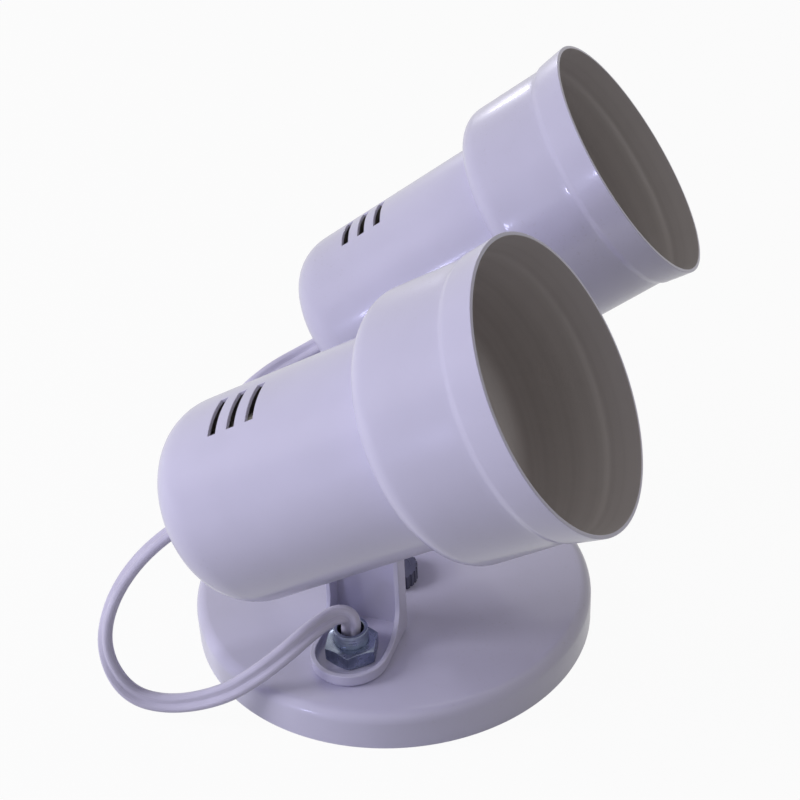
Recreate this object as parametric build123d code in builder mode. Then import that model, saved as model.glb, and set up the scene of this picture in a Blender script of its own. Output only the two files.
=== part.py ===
from build123d import *
import os
from math import cos, radians, sin, sqrt, tan

# Twin pivoting spotlight on one round wall canopy, enamelled sheet steel.
# Millimetres. The origin is the middle of the canopy's wall side and +Z points
# out of the wall, so the part stands on its canopy when it is put on a table.

os.makedirs("parts", exist_ok=True)

# Sheet steel, enamelled
sheet_t = 1.5

# Canopy: a pressed round dish
canopy_r = 60.0
canopy_h = 12.0
canopy_t = 1.0
canopy_edge_r = 3.5

# Hollow threaded nipples that carry the brackets and let the cords through
nipple_r = 4.95
nipple_bore_r = 3.8
nipple_inset = 23.0
nipple_line_angle = 70.5
hex_nut_turn = 81.0
nipple_proud = 4.5
nipple_tail = 1.8
thread_gap = 0.03
hex_nut_width = 14.0
hex_nut_h = 5.0
nut_chamfer_share = 0.12
nut_flat_share = 0.98
lock_nut_width = 14.0
lock_nut_h = 3.0
lock_washer_r = 8.0
lock_washer_h = 0.8

# Running fits of the swivel and of the tilt pivot
swivel_play = 0.05
tilt_play = 0.05
running_gap = 0.07

# Bracket: a pressed channel with a rounded foot and a tall upright
bracket_r = 11.3
web_offset = 15.5
foot_ahead = 1.7
foot_rim_h = 4.0
upright_depth = 6.5
corner_r = 9.0
bend_r = 2.0
back_edge_r = 1.2
taper_start = 30.0
taper_end = 44.0
pivot_h = 87.0

# Head: one spun shell, sizes taken behind its rim along its own axis
rim_r = 36.8
lip_r = 35.8
lip_len = 8.5
step_len = 0.7
cup_r = 35.0
cup_len = 37.5
shoulder_r = 7.3
rear_r = 27.5
head_len = 107.5
dome_len = 12.4
dome_drop = 9.3
shell_t = 1.0
pivot_from_back = 34.2
side_gap = 3.2

# Vent slots near the rear of each shell
slot_count = 3
slot_from_back = 37.4
slot_pitch = 6.1
slot_w = 2.4
slot_middle_angles = {1: 103.8, 2: 93.7}
slot_half_angle = 13.4

# Shape of a screw head, as shares of the head's own radius or height
slot_overrun = 2.2
head_slot_share = 0.24
head_slot_depth_share = 0.4
head_dome_share = 0.45
head_dome_limit = 0.4

# Tilt pivot hardware
screw_r = 2.45
screw_head_r = 4.75
screw_head_h = 2.8
spacer_r = 8.0
washer_r = 6.0
washer_h = 1.0
pivot_nut_width = 8.0
pivot_nut_h = 4.0
screw_proud = 1.5

# Lampholder: porcelain body with a threaded metal screw shell
holder_len = 36.0
holder_r = 20.0
holder_edge_r = 2.0
socket_r = 14.0
socket_depth = 27.0
screw_shell_t = 0.6
screw_shell_front = 1.5
contact_r = 4.0
contact_t = 1.0
contact_post_r = 1.6
contact_post_h = 2.5
contact_seat = 1.5

# Screws and spacers that hold the lampholder to the back of the shell
holder_screw_r = 1.45
holder_screw_offset = 11.0
holder_screw_depth = 6.0
holder_screw_head_r = 2.8
holder_screw_head_h = 2.2
spacer_tube_r = 3.0
spacer_tube_len = 10.5
terminal_offset = 11.0
terminal_screw_r = 1.7
terminal_head_r = 2.8
terminal_head_h = 2.4
terminal_depth = 4.0

# Grommet at the back of the shell
grommet_r = 5.6
grommet_hole_r = 4.5
grommet_bore_r = 3.1
grommet_flange = 1.5
grommet_edge = 0.5

# Flat twin cord: two insulated cores side by side
core_r = 1.45
core_spacing = 2.8
wire_r = 1.1
lead_gap = 0.3
lead_straight = 2.2
lead_spread_share = 0.95
lead_end_share = 0.98
lead_drop = 0.7
lead_clear = 1.0
lead_first_share = 0.14
lead_approach = 8.0
lead_depth = 2.5

# Crossbar that is screwed to the wall inside the canopy
crossbar_clear = 8.0
crossbar_w = 18.0
wall_slot_spacing = 76.0
wall_slot_len = 15.0
wall_slot_r = 2.25
centre_screw_r = 2.45
centre_nut_width = 8.0
centre_nut_h = 4.0
centre_head_r = 7.6
centre_head_h = 4.6
centre_head_ribs = 24
centre_head_rib_r = 0.45
centre_dish_r = 5.5
centre_dish_depth = 0.55
tip_gap = 0.4
earth_x = -19.0
earth_screw_r = 1.9
earth_head_r = 3.6
earth_head_h = 2.4
earth_washer_r = 4.4
earth_washer_h = 0.8
block_x = 23.0
block_len = 18.0
block_w = 15.0
block_h = 8.0
block_edge_r = 1.0
block_screw_r = 1.45
block_screw_head_r = 2.6
block_screw_head_h = 1.6
pole_spacing = 11.0
wire_hole_r = 1.4
wire_hole_z = 3.4
pole_screw_r = 1.6
pole_screw_h = 3.2
pole_slot_w = 0.96
pole_slot_depth = 0.8

# Rest position of each head: bearing on the wall and angle out of it, degrees
head_bearings = {1: -20.0, 2: -11.3}
head_pitches = {1: 30.2, 2: 35.1}
head_sides = {1: 1, 2: -1}

# Route of each cord's free loop: along the loop's bearing from the nipple,
# aside from it, and height above the wall side
loop_bearings = {1: 180.0, 2: 171.0}
cord_lead_out = 10.0
cord_tail = 1.0
loop_routes = {
    1: [
        (55.3, 3.6, 54.5),
        (65.6, 3.4, 38.5),
        (69.3, 5.0, 23.0),
        (64.4, 6.9, 8.4),
        (52.2, 9.6, 5.7),
        (36.4, 12.3, 10.9),
        (25.1, 12.8, 19.3),
        (16.6, 10.3, 25.0),
        (10.6, 6.1, 27.9),
    ],
    2: [
        (51.4, -9.4, 55.0),
        (63.2, -5.4, 44.2),
        (67.6, -1.4, 29.8),
        (58.2, 0.1, 20.8),
        (43.1, 1.1, 19.8),
        (29.1, 1.2, 20.9),
        (18.1, 1.9, 24.6),
        (10.6, 1.8, 27.7),
    ],
}

# The fold over the nipple: height is above the nipple's top
arch_route = [
    (4.85, 1.4, 5.65),
    (1.65, 0.35, 5.3),
    (-0.45, 0.05, 2.9),
    (0.15, 0.0, -2.6),
    (-0.15, 0.0, -11.2),
]

# Heights that follow from the sizes above
up = Vector(0, 0, 1)
canopy_inner_h = canopy_h - canopy_t
nipple_spacing = 2 * (canopy_r - nipple_inset)
crossbar_len = 2 * (canopy_r - canopy_t - crossbar_clear)
foot_z = canopy_h + swivel_play
foot_top = foot_z + sheet_t
hex_nut_z = foot_top + swivel_play
nipple_top = hex_nut_z + hex_nut_h + nipple_proud
lock_nut_top = canopy_inner_h - lock_washer_h
nipple_bottom = lock_nut_top - lock_nut_h - nipple_tail
upright_back = web_offset + sheet_t
shell_reach = rear_r + side_gap
pivot_back = head_len - pivot_from_back
slot_first = head_len - slot_from_back
holder_back = head_len - shell_t - spacer_tube_len
holder_front = holder_back - holder_len
cord_end_back = head_len - shell_t - grommet_flange - cord_tail


def hex_radius(width):
    """Corner radius of a hexagon from its width across flats."""
    return width / 2 / cos(radians(30))


def nipple_point(side):
    """Middle of one nipple on the wall side, for side 1 or -1."""
    turn = radians(nipple_line_angle)
    reach = -side * nipple_spacing / 2
    return Vector(reach * cos(turn), reach * sin(turn), 0)


class HeadFrame:
    """Directions and planes of one head and of the bracket that carries it."""

    def __init__(self, number):
        side = head_sides[number]
        self.number = number
        bearing = radians(head_bearings[number])
        pitch = radians(head_pitches[number])
        self.side = side
        self.forward = Vector(cos(bearing), sin(bearing), 0)
        self.left = Vector(-sin(bearing), cos(bearing), 0)
        self.inboard = self.left * side
        self.outboard = self.inboard * -1
        self.nipple = nipple_point(side)
        self.axis_dir = self.forward * cos(pitch) + up * sin(pitch)
        self.rise_dir = self.forward * -sin(pitch) + up * cos(pitch)
        offset = self.inboard * (web_offset - shell_reach)
        self.pivot = self.nipple + offset + up * pivot_h
        self.rim = self.pivot + self.axis_dir * pivot_back
        self.axis = Axis(self.rim, self.axis_dir)

    def section(self):
        """Plane through the axis: x runs back from the rim, y is the radius."""
        return Plane(origin=self.rim, x_dir=self.axis_dir * -1, z_dir=self.left)

    def across(self, back):
        """Plane square to the axis, looking forward, x to the left."""
        origin = self.rim - self.axis_dir * back
        return Plane(origin=origin, x_dir=self.left, z_dir=self.axis_dir)

    def beside(self, reach):
        """Plane square to the tilt pivot, facing inboard."""
        origin = self.pivot + self.inboard * reach
        return Plane(origin=origin, x_dir=self.forward, z_dir=self.inboard)

    def bracket_side(self):
        """Upright plane through the nipple: x runs outboard, y runs up."""
        return Plane(origin=self.nipple, x_dir=self.outboard,
                     z_dir=self.outboard.cross(up))

    def bracket_plan(self, height):
        """Level plane on the nipple's axis: x runs outboard."""
        return Plane(origin=self.nipple + up * height, x_dir=self.outboard,
                     z_dir=up)

    def bracket_front(self, reach):
        """Upright plane square to the tilt pivot: x forward, y up."""
        origin = self.nipple + self.inboard * reach
        return Plane(origin=origin, x_dir=self.forward,
                     z_dir=self.forward.cross(up))


def save(part, name):
    """Label one finished sub-part and write it to its STEP file."""
    part.label = name
    export_step(part, f"parts/{name}.step")
    print(f"{name}: {len(part.solids())} solid(s), {part.volume:.1f} mm3")


def ring(plane, outer_r, inner_r, height):
    """A plain ring or washer that stands on a plane."""
    with BuildPart() as body:
        with BuildSketch(plane):
            Circle(outer_r)
            Circle(inner_r, mode=Mode.SUBTRACT)
        extrude(amount=height)
    return body.part


def hex_nut(plane, width, bore_r, height):
    """A hexagon nut that stands on a plane, its corners turned down."""
    corner_r = hex_radius(width)
    chamfer_h = nut_chamfer_share * height
    flat_r = nut_flat_share * width / 2
    cut_r = corner_r + thread_gap
    with BuildPart() as nut:
        with BuildSketch(plane):
            RegularPolygon(radius=corner_r, side_count=6)
            Circle(bore_r, mode=Mode.SUBTRACT)
        extrude(amount=height)
        side_plane = Plane(origin=plane.origin, x_dir=plane.x_dir,
                           z_dir=plane.x_dir.cross(plane.z_dir))
        with BuildSketch(side_plane):
            with BuildLine():
                Polyline(
                    (0, 0),
                    (flat_r, 0),
                    (cut_r, chamfer_h),
                    (cut_r, height - chamfer_h),
                    (flat_r, height),
                    (0, height),
                    close=True,
                )
            make_face()
        turned = revolve(axis=Axis(plane.origin, plane.z_dir), mode=Mode.PRIVATE)
        add(turned, mode=Mode.INTERSECT)
    return nut.part


def pan_screw(plane, shank_r, shank_len, head_r, head_h, slotted=True):
    """A screw whose head stands on a plane and whose shank goes down from it."""
    dome_r = min(head_dome_share * head_h, head_dome_limit * head_r)
    with BuildPart() as screw:
        with BuildSketch(plane):
            Circle(shank_r)
        extrude(amount=-shank_len)
        with BuildSketch(plane):
            Circle(head_r)
        extrude(amount=head_h)
        top_edge = screw.edges().sort_by(
            lambda edge: (edge.center() - plane.origin).dot(plane.z_dir))[-1]
        fillet(top_edge, radius=dome_r)
        if slotted:
            with BuildSketch(plane.offset(head_h)):
                Rectangle(slot_overrun * head_r, head_slot_share * head_r)
            extrude(amount=-head_slot_depth_share * head_h, mode=Mode.SUBTRACT)
    return screw.part


def tangent_radii(points):
    """Largest even arc at each corner of a route."""
    radii = []
    for before, here, after in zip(points, points[1:], points[2:]):
        turn = (here - before).get_angle(after - here)
        shorter = min((here - before).length, (after - here).length)
        radii.append(0.45 * shorter / tan(radians(turn / 2)))
    return radii


# ---------------------------------------------------------------- canopy

with BuildPart() as canopy:
    canopy_flat_r = canopy_r - canopy_edge_r
    inner_edge_r = canopy_edge_r - canopy_t
    with BuildSketch(Plane.XZ):
        with BuildLine():
            Line((0, canopy_h), (canopy_flat_r, canopy_h))
            RadiusArc((canopy_flat_r, canopy_h),
                      (canopy_r, canopy_h - canopy_edge_r), canopy_edge_r)
            Line((canopy_r, canopy_h - canopy_edge_r), (canopy_r, 0))
            Line((canopy_r, 0), (canopy_r - canopy_t, 0))
            Line((canopy_r - canopy_t, 0),
                 (canopy_r - canopy_t, canopy_h - canopy_edge_r))
            RadiusArc((canopy_r - canopy_t, canopy_h - canopy_edge_r),
                      (canopy_flat_r, canopy_inner_h), -inner_edge_r)
            Line((canopy_flat_r, canopy_inner_h), (0, canopy_inner_h))
            Line((0, canopy_inner_h), (0, canopy_h))
        make_face()
    revolve(axis=Axis.Z)
    with BuildSketch(Plane.XY.offset(canopy_inner_h)):
        for nipple_side in (1, -1):
            with Locations(nipple_point(nipple_side)):
                Circle(nipple_r + running_gap)
        Circle(centre_screw_r + running_gap)
    extrude(amount=canopy_t, mode=Mode.SUBTRACT)
save(canopy.part, "canopy")

# ---------------------------------------------------------------- crossbar

with BuildPart() as crossbar:
    with BuildSketch():
        SlotOverall(crossbar_len, crossbar_w)
        with Locations((-wall_slot_spacing / 2, 0), (wall_slot_spacing / 2, 0)):
            SlotOverall(wall_slot_len, 2 * wall_slot_r, mode=Mode.SUBTRACT)
        Circle(centre_screw_r + running_gap, mode=Mode.SUBTRACT)
        with Locations((earth_x, 0)):
            Circle(earth_screw_r + thread_gap, mode=Mode.SUBTRACT)
        with Locations((block_x, 0)):
            Circle(block_screw_r + thread_gap, mode=Mode.SUBTRACT)
    extrude(amount=sheet_t)
save(crossbar.part, "crossbar")

crossbar_top = Plane.XY.offset(sheet_t)
save(hex_nut(crossbar_top, centre_nut_width, centre_screw_r + thread_gap,
             centre_nut_h), "crossbar_nut")

# Knurled centre screw that pulls the canopy onto the crossbar
with BuildPart() as centre_screw:
    with BuildSketch(Plane.XY.offset(canopy_h)):
        Circle(centre_head_r)
        with PolarLocations(centre_head_r, centre_head_ribs):
            Circle(centre_head_rib_r, mode=Mode.SUBTRACT)
    extrude(amount=centre_head_h)
    with BuildSketch(Plane.XY.offset(canopy_h + centre_head_h)):
        Circle(centre_dish_r)
    extrude(amount=-centre_dish_depth, mode=Mode.SUBTRACT)
    with BuildSketch(Plane.XY.offset(canopy_h)):
        Circle(centre_screw_r)
    extrude(amount=tip_gap - canopy_h)
save(centre_screw.part, "centre_screw")

# Earth screw and its washer on the crossbar
earth_washer_top = sheet_t + earth_washer_h
earth_plane = Plane(origin=(earth_x, 0, earth_washer_top), z_dir=(0, 0, 1))
earth_seat = Plane(origin=(earth_x, 0, sheet_t), z_dir=(0, 0, 1))
save(ring(earth_seat, earth_washer_r, earth_screw_r + thread_gap,
          earth_washer_h), "earth_washer")
save(pan_screw(earth_plane, earth_screw_r, earth_washer_top - tip_gap,
               earth_head_r, earth_head_h), "earth_screw")

# Two-pole terminal block, screwed to the crossbar
block_plane = Plane(origin=(block_x, 0, sheet_t), z_dir=(0, 0, 1))
pole_xs = (-pole_spacing / 2, pole_spacing / 2)
with BuildPart() as terminal_block:
    with BuildSketch(block_plane):
        RectangleRounded(block_len, block_w, block_edge_r)
    extrude(amount=block_h)
    with BuildSketch(block_plane.offset(block_h)):
        Circle(block_screw_head_r + running_gap)
    extrude(amount=-block_screw_head_h, mode=Mode.SUBTRACT)
    with BuildSketch(block_plane):
        Circle(block_screw_r + running_gap)
    extrude(amount=block_h, mode=Mode.SUBTRACT)
    with BuildSketch(block_plane.offset(block_h)):
        for pole_x in pole_xs:
            with Locations((pole_x, 0)):
                Circle(pole_screw_r + running_gap)
    extrude(amount=wire_hole_z - block_h, mode=Mode.SUBTRACT)
    wire_plane = Plane(origin=(block_x, 0, sheet_t + wire_hole_z),
                       x_dir=(1, 0, 0), z_dir=(0, 1, 0))
    with BuildSketch(wire_plane):
        for pole_x in pole_xs:
            with Locations((pole_x, 0)):
                Circle(wire_hole_r)
    extrude(amount=block_w / 2, both=True, mode=Mode.SUBTRACT)
save(terminal_block.part, "terminal_block")

block_screw_plane = block_plane.offset(block_h - block_screw_head_h)
block_screw_len = sheet_t + block_h - block_screw_head_h - tip_gap
save(pan_screw(block_screw_plane, block_screw_r, block_screw_len,
               block_screw_head_r, block_screw_head_h), "block_screw")

with BuildPart() as block_terminals:
    with BuildSketch(block_plane.offset(block_h)):
        for pole_x in pole_xs:
            with Locations((pole_x, 0)):
                Circle(pole_screw_r)
    extrude(amount=-pole_screw_h)
    with BuildSketch(block_plane.offset(block_h)):
        for pole_x in pole_xs:
            with Locations((pole_x, 0)):
                Rectangle(slot_overrun * pole_screw_r, pole_slot_w)
    extrude(amount=-pole_slot_depth, mode=Mode.SUBTRACT)
save(block_terminals.part, "block_terminals")

# ---------------------------------------------------------------- nipples

sides = (1, -1)
with BuildPart() as nipples:
    for nipple_side in sides:
        nipple_plane = Plane(origin=nipple_point(nipple_side) + up * nipple_bottom)
        add(ring(nipple_plane, nipple_r, nipple_bore_r, nipple_top - nipple_bottom))
save(nipples.part, "nipples")

with BuildPart() as nipple_nuts:
    for nipple_side in sides:
        nut_plane = Plane(origin=nipple_point(nipple_side) + up * hex_nut_z,
                          x_dir=(cos(radians(hex_nut_turn)),
                                 sin(radians(hex_nut_turn)), 0))
        add(hex_nut(nut_plane, hex_nut_width, nipple_r + thread_gap, hex_nut_h))
save(nipple_nuts.part, "nipple_nuts")

with BuildPart() as lock_washers:
    for nipple_side in sides:
        washer_plane = Plane(origin=nipple_point(nipple_side) + up * lock_nut_top)
        add(ring(washer_plane, lock_washer_r, nipple_r + running_gap, lock_washer_h))
save(lock_washers.part, "lock_washers")

with BuildPart() as lock_nuts:
    for nipple_side in sides:
        lock_z = lock_nut_top - lock_nut_h
        lock_plane = Plane(origin=nipple_point(nipple_side) + up * lock_z)
        add(hex_nut(lock_plane, lock_nut_width, nipple_r + thread_gap, lock_nut_h))
save(lock_nuts.part, "lock_nuts")

# ---------------------------------------------------------------- brackets


def bracket_outline(frame, half_width, back, height):
    """Plan of the bracket: round at the foot, square at the upright."""
    with BuildSketch(frame.bracket_plan(height)) as plan:
        with Locations((foot_ahead, 0)):
            Circle(half_width)
        with Locations(((foot_ahead - back) / 2, 0)):
            Rectangle(back + foot_ahead, 2 * half_width)
    return plan.sketch


def make_bracket(frame):
    """Pressed channel: foot on the nipple, upright beside the head."""
    top = pivot_h + bracket_r
    spare = 1.0
    foot_end = bracket_r + foot_ahead + spare
    outer_plan = bracket_outline(frame, bracket_r, upright_back, foot_z - spare)
    inner_plan = bracket_outline(frame, bracket_r - sheet_t, web_offset, foot_top)
    with BuildPart() as bracket:
        with BuildSketch(frame.bracket_side()):
            flange_x = upright_depth - upright_back
            with BuildLine():
                FilletPolyline(
                    (foot_end, foot_z),
                    (-upright_back, foot_z),
                    (-upright_back, top),
                    radius=bend_r,
                )
                Polyline(
                    (-upright_back, top),
                    (-web_offset, top),
                    (-web_offset, foot_z + taper_end),
                    (flange_x, foot_z + taper_start),
                )
                FilletPolyline(
                    (flange_x, foot_z + taper_start),
                    (flange_x, foot_z + foot_rim_h),
                    (foot_end, foot_z + foot_rim_h),
                    radius=corner_r,
                )
                Line((foot_end, foot_z + foot_rim_h), (foot_end, foot_z))
            make_face()
        extrude(amount=foot_end, both=True)
        extrude(outer_plan, amount=top + spare, mode=Mode.INTERSECT)
        with BuildSketch(frame.bracket_front(web_offset)):
            with Locations((0, pivot_h / 2)):
                Rectangle(2 * foot_end, pivot_h)
            with Locations((0, pivot_h)):
                Circle(bracket_r)
        extrude(amount=2 * upright_back + 2 * bracket_r, both=True,
                mode=Mode.INTERSECT)
        back_edges = bracket.edges().filter_by(Axis.Z).sort_by(
            lambda edge: (edge.center() - frame.nipple).dot(frame.inboard))[-2:]
        fillet(back_edges, radius=back_edge_r)
        extrude(inner_plan, amount=top, mode=Mode.SUBTRACT)
        with BuildSketch(frame.bracket_plan(foot_z)):
            Circle(nipple_r + running_gap)
        extrude(amount=sheet_t, mode=Mode.SUBTRACT)
        with BuildSketch(frame.beside(shell_reach)):
            Circle(screw_r + running_gap)
        extrude(amount=sheet_t, mode=Mode.SUBTRACT)
    return bracket.part


# ---------------------------------------------------------------- heads


def shell_profile(inset):
    """Half outline of the shell from rim to back, moved in by a thickness."""
    wall_end = cup_len - shoulder_r
    dome_start = head_len - dome_len
    dome_r = rear_r - dome_drop
    Polyline(
        (0, rim_r - inset),
        (lip_len, lip_r - inset),
        (lip_len + step_len, cup_r - inset),
        (wall_end, cup_r - inset),
    )
    # The shoulder turns straight down onto the rear cylinder
    drop = cup_r - rear_r
    EllipticalCenterArc((wall_end, rear_r - inset), cup_len - wall_end - inset,
                        drop, start_angle=0, arc_size=90)
    Line((cup_len - inset, rear_r - inset), (dome_start, rear_r - inset))
    EllipticalCenterArc((dome_start, dome_r), dome_len - inset,
                        dome_drop - inset, start_angle=0, arc_size=90)
    Line((head_len - inset, dome_r), (head_len - inset, 0))


def make_shell(frame):
    """Spun lamp shell with its vent slots, pivot, screw and cord holes."""
    with BuildPart() as shell:
        with BuildSketch(frame.section()):
            with BuildLine():
                shell_profile(0)
                Line((head_len, 0), (head_len - shell_t, 0))
                shell_profile(shell_t)
                Line((0, rim_r - shell_t), (0, rim_r))
            make_face()
        revolve(axis=frame.axis)
        for slot_number in range(slot_count):
            slot_back = slot_first + slot_number * slot_pitch + slot_w / 2
            middle = slot_middle_angles[frame.number]
            low = radians(middle - slot_half_angle)
            high = radians(middle + slot_half_angle)
            reach = 1.2 * rear_r
            with BuildSketch(frame.across(slot_back)):
                Polygon(
                    (0, 0),
                    (reach * cos(low), reach * sin(low)),
                    (reach * cos(high), reach * sin(high)),
                    align=None,
                )
            extrude(amount=slot_w, mode=Mode.SUBTRACT)
        with BuildSketch(frame.beside(rear_r - 3 * shell_t)):
            Circle(screw_r + running_gap)
        extrude(amount=4 * shell_t, mode=Mode.SUBTRACT)
        with BuildSketch(frame.across(head_len)):
            Circle(grommet_hole_r)
            with Locations((-holder_screw_offset, 0), (holder_screw_offset, 0)):
                Circle(holder_screw_r + running_gap)
        extrude(amount=2 * shell_t, mode=Mode.SUBTRACT)
    return shell.part


def make_spacer(frame):
    """Plastic saddle washer between the round shell and the flat upright."""
    inner_reach = sqrt(rear_r**2 - spacer_r**2) - shell_t / 2
    with BuildPart() as spacer:
        with BuildSketch(frame.beside(inner_reach)):
            Circle(spacer_r)
            Circle(screw_r + running_gap, mode=Mode.SUBTRACT)
        extrude(amount=shell_reach - tilt_play - inner_reach)
        with BuildSketch(frame.across(pivot_back + 2 * spacer_r)):
            Circle(rear_r)
        extrude(amount=4 * spacer_r, mode=Mode.SUBTRACT)
    return spacer.part


def make_pivot_screw(frame):
    """Screw from inside the shell, through spacer and upright, to its nut."""
    seat = sqrt((rear_r - shell_t) ** 2 - screw_head_r**2) - thread_gap
    web_back = shell_reach + sheet_t + tilt_play
    tip = web_back + washer_h + pivot_nut_h + screw_proud
    plane = Plane(origin=frame.beside(seat).origin, x_dir=frame.forward,
                  z_dir=frame.outboard)
    return pan_screw(plane, screw_r, tip - seat, screw_head_r, screw_head_h)


def make_holder(frame):
    """Porcelain lampholder body with its socket and its screw holes."""
    back = holder_back
    with BuildPart() as holder:
        with BuildSketch(frame.section()):
            with BuildLine():
                Polyline(
                    (holder_front, socket_r),
                    (holder_front, holder_r - holder_edge_r),
                    (holder_front + holder_edge_r, holder_r),
                    (back - holder_edge_r, holder_r),
                    (back, holder_r - holder_edge_r),
                    (back, 0),
                    (holder_front + socket_depth, 0),
                    (holder_front + socket_depth, socket_r),
                    close=True,
                )
            make_face()
        revolve(axis=frame.axis)
        with BuildSketch(frame.across(back)):
            with Locations((-holder_screw_offset, 0), (holder_screw_offset, 0)):
                Circle(holder_screw_r + thread_gap)
        extrude(amount=holder_screw_depth + tip_gap, mode=Mode.SUBTRACT)
        with BuildSketch(frame.across(back)):
            with Locations((0, -terminal_offset), (0, terminal_offset)):
                Circle(terminal_screw_r + thread_gap)
        extrude(amount=terminal_depth + tip_gap, mode=Mode.SUBTRACT)
        with BuildSketch(frame.across(holder_front + socket_depth)):
            Circle(contact_post_r + thread_gap)
        extrude(amount=-contact_seat - tip_gap, mode=Mode.SUBTRACT)
    return holder.part


def make_screw_shell(frame):
    """Threaded metal tube of the socket, open at both ends."""
    outer_r = socket_r - thread_gap
    plane = frame.across(holder_front + socket_depth)
    return ring(plane, outer_r, outer_r - screw_shell_t,
                socket_depth - screw_shell_front)


def make_contact(frame):
    """Centre contact on a short post at the bottom of the socket."""
    plane = frame.across(holder_front + socket_depth)
    with BuildPart() as contact:
        with BuildSketch(plane.offset(-contact_seat)):
            Circle(contact_post_r)
        extrude(amount=contact_seat + contact_post_h)
        with BuildSketch(plane.offset(contact_post_h)):
            Circle(contact_r)
        extrude(amount=contact_t)
    return contact.part


def make_holder_screws(frame):
    """Two screws through the back of the shell into the lampholder."""
    reach = head_len - holder_back + holder_screw_depth
    with BuildPart() as screws:
        for offset in (-holder_screw_offset, holder_screw_offset):
            origin = frame.across(head_len).origin + frame.left * offset
            plane = Plane(origin=origin, x_dir=frame.left,
                          z_dir=frame.axis_dir * -1)
            add(pan_screw(plane, holder_screw_r, reach, holder_screw_head_r,
                          holder_screw_head_h))
    return screws.part


def make_holder_spacers(frame):
    """Two tubes that hold the lampholder off the back of the shell."""
    plane = frame.across(head_len - shell_t)
    with BuildPart() as tubes:
        with BuildSketch(plane):
            with Locations((-holder_screw_offset, 0), (holder_screw_offset, 0)):
                Circle(spacer_tube_r)
                Circle(holder_screw_r + running_gap, mode=Mode.SUBTRACT)
        extrude(amount=spacer_tube_len)
    return tubes.part


def make_terminals(frame):
    """Two terminal screws on the back of the lampholder."""
    with BuildPart() as terminals:
        for offset in (-terminal_offset, terminal_offset):
            origin = frame.across(holder_back).origin + frame.rise_dir * offset
            plane = Plane(origin=origin, x_dir=frame.left,
                          z_dir=frame.axis_dir * -1)
            add(pan_screw(plane, terminal_screw_r, terminal_depth,
                          terminal_head_r, terminal_head_h))
    return terminals.part


def make_grommet(frame):
    """Flanged bush that lines the cord's hole in the back of the shell."""
    outside = head_len + grommet_flange
    inside = head_len - shell_t - grommet_flange
    neck_r = grommet_hole_r - thread_gap
    with BuildPart() as grommet:
        with BuildSketch(frame.section()):
            with BuildLine():
                Polyline(
                    (inside, grommet_bore_r),
                    (inside, grommet_r),
                    (head_len - shell_t, grommet_r),
                    (head_len - shell_t, neck_r),
                    (head_len, neck_r),
                    (head_len, grommet_r),
                    (outside - grommet_edge, grommet_r),
                    (outside, grommet_r - grommet_edge),
                    (outside, grommet_bore_r),
                    close=True,
                )
            make_face()
        revolve(axis=frame.axis)
    return grommet.part


# ---------------------------------------------------------------- cords


def cord_route(frame, number):
    """Points of one cord from the lampholder's back to inside its nipple."""
    bearing = radians(loop_bearings[number])
    along = Vector(cos(bearing), sin(bearing), 0)
    aside = Vector(-sin(bearing), cos(bearing), 0)
    points = [
        frame.across(cord_end_back).origin,
        frame.across(head_len + cord_lead_out).origin,
    ]
    for out, across, height in loop_routes[number]:
        points.append(frame.nipple + along * out + aside * across + up * height)
    for out, across, height in arch_route:
        level = up * (nipple_top + height)
        points.append(frame.nipple + along * out + aside * across + level)
    points.append(frame.nipple + up * (nipple_bottom + cord_tail))
    return points


def make_cord(frame, number):
    """Flat twin cord: two cores side by side, swept along the route."""
    points = cord_route(frame, number)
    radii = tangent_radii(points)
    with BuildPart() as cord:
        with BuildLine() as path:
            FilletPolyline(*points, radius=radii)
        start = points[0]
        with BuildSketch(Plane(origin=start, x_dir=frame.rise_dir,
                               z_dir=points[1] - start)) as section:
            with Locations((-core_spacing / 2, 0), (core_spacing / 2, 0)):
                Circle(core_r)
        sweep()
    length = path.wires()[0].length
    expected = section.sketch.area * length
    print(f"cord_{number}: route {length:.1f} mm, volume / section x length "
          f"{cord.part.volume / expected:.4f}, radii",
          [round(radius, 1) for radius in radii])
    print(f"cord_{number} points:",
          [tuple(round(value, 2) for value in point) for point in points])
    return cord.part


def wire(points):
    """One insulated wire along a short route inside a housing."""
    with BuildPart() as core:
        with BuildLine():
            FilletPolyline(*points, radius=tangent_radii(points))
        with BuildSketch(Plane(origin=points[0], z_dir=points[1] - points[0])):
            Circle(wire_r)
        sweep()
    return core.part


def make_head_leads(frame):
    """The two cores from the cord's end to the lampholder's terminals."""
    lead_back = holder_back + wire_r + lead_gap
    with BuildPart() as leads:
        for sign in (1, -1):
            near = frame.rise_dir * (sign * core_spacing / 2)
            far = frame.rise_dir * (sign * (terminal_offset - terminal_head_r))
            middle = frame.rise_dir * (sign * lead_spread_share * core_spacing)
            straight_end = cord_end_back - cord_tail - lead_straight
            add(wire([
                frame.across(cord_end_back - lead_gap).origin + near,
                frame.across(straight_end).origin + near,
                frame.across(lead_back).origin + middle,
                frame.across(lead_back).origin + far * lead_end_share,
            ]))
    return leads.part


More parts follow.
